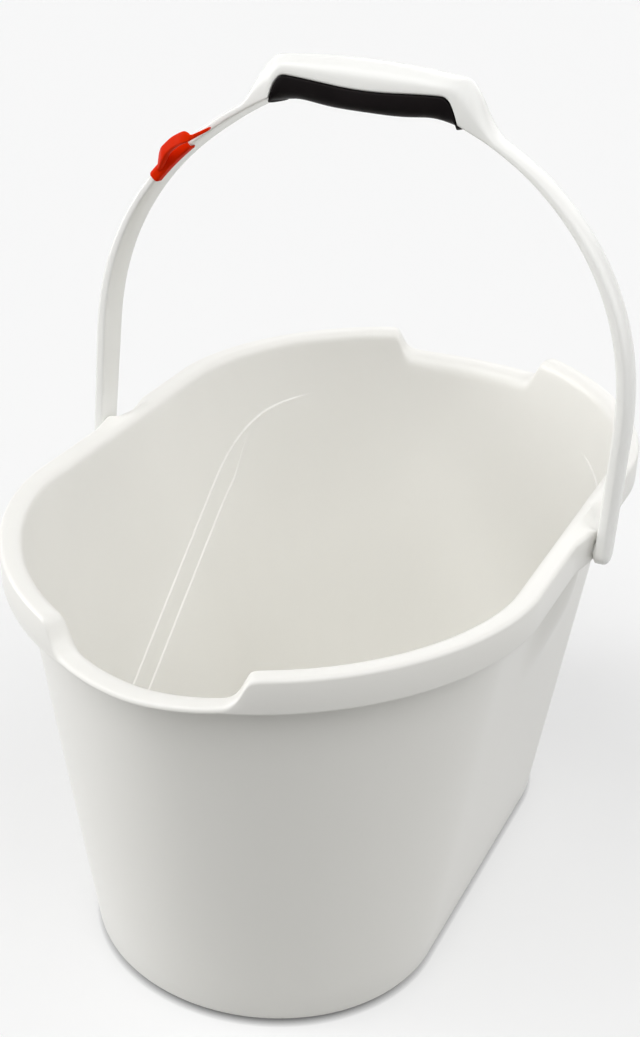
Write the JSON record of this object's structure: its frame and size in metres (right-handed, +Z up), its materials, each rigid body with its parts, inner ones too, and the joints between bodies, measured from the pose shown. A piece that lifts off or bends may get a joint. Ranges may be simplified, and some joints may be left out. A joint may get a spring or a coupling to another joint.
{
  "type": "mop bucket",
  "caption": "Oval household mop bucket with a pour spout at each end, a swinging bail with a soft grip pad and a side clip that holds a mop pole upright.",
  "frame": {"origin": "centre of the flat base that the bucket stands on", "axes": "+X along the bail's pivot axis, away from the side with the pole clip; +Y from the near pour spout to the far one; +Z up"},
  "size_m": [0.296, 0.42, 0.4419],
  "materials": {
    "bucket": "satin white moulded plastic",
    "bail": "satin white moulded plastic",
    "pad": "matt black soft touch",
    "clip": "glossy orange red"
  },
  "bodies": {
    "bucket": {"bucket_body": "bucket"},
    "handle": {"bail": "bail", "grip_pad": "pad", "pole_clip": "clip"}
  },
  "joints": [
    {"name": "bail_swing", "type": "hinge", "parent": "bucket", "child": "handle", "pos_m": [0, 0, 0.2262], "axis": [1, 0, 0], "range_deg": [-72, 78]}
  ]
}
